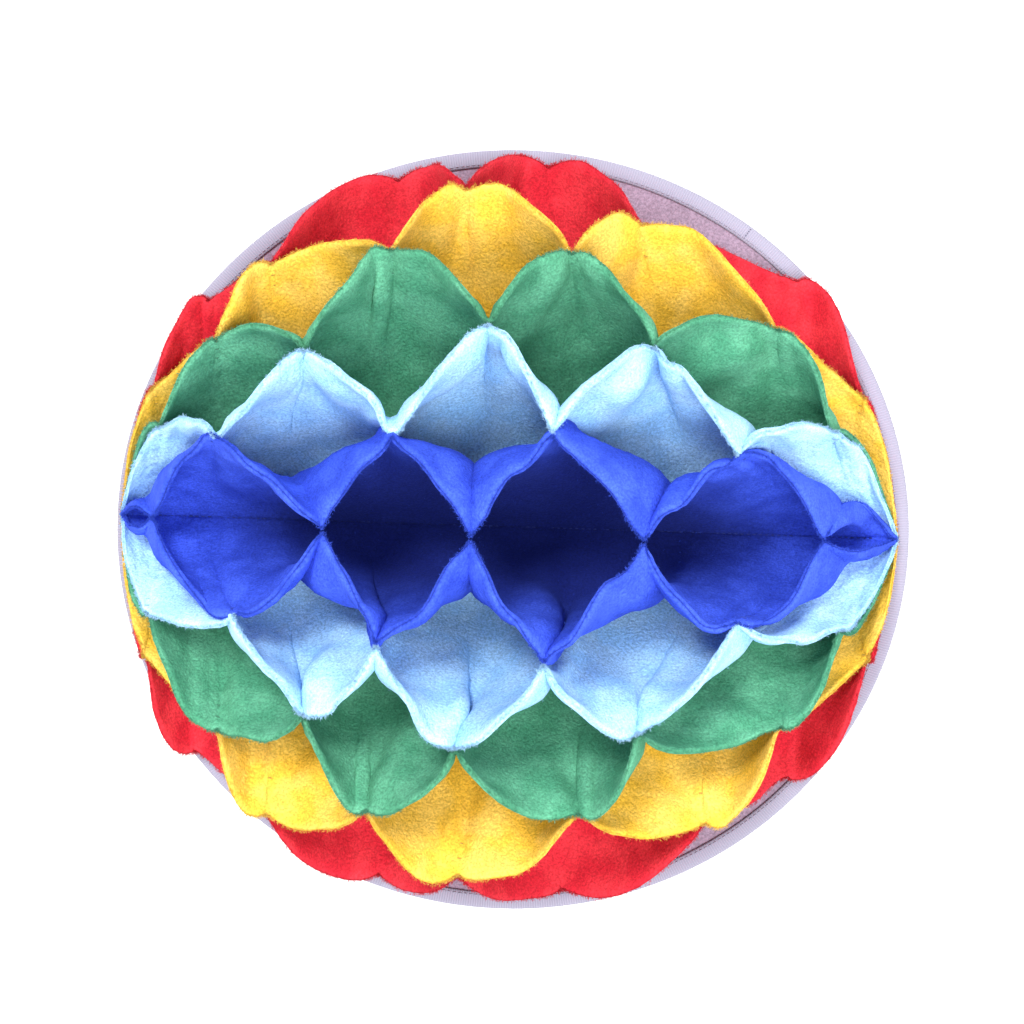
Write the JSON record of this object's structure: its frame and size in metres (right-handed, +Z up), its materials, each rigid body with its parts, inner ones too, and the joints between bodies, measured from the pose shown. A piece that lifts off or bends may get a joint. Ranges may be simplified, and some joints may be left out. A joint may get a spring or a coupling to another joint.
{
  "type": "snuffle mat",
  "caption": "Round dog's snuffle mat: fleece discs sewn through one diameter and tacked at their rims, so that they stand up as a dome of open pockets on a flat bound base.",
  "frame": {"origin": "middle of the mat's underside, on the surface that it lies on", "axes": "+X along the spine, the diameter that the discs are sewn through; +Z up; +Y across the spine"},
  "size_m": [0.42, 0.403, 0.1493],
  "materials": {
    "base": "short-pile fleece",
    "binding": "rib knit",
    "disc_blue": "short-pile fleece",
    "disc_light_blue": "short-pile fleece",
    "disc_green": "short-pile fleece",
    "disc_yellow": "short-pile fleece",
    "disc_red": "short-pile fleece"
  },
  "bodies": {
    "root": {"base": "base", "binding": "binding", "disc_blue": "disc_blue", "disc_light_blue": "disc_light_blue", "disc_green": "disc_green", "disc_yellow": "disc_yellow", "disc_red": "disc_red"}
  },
  "joints": []
}
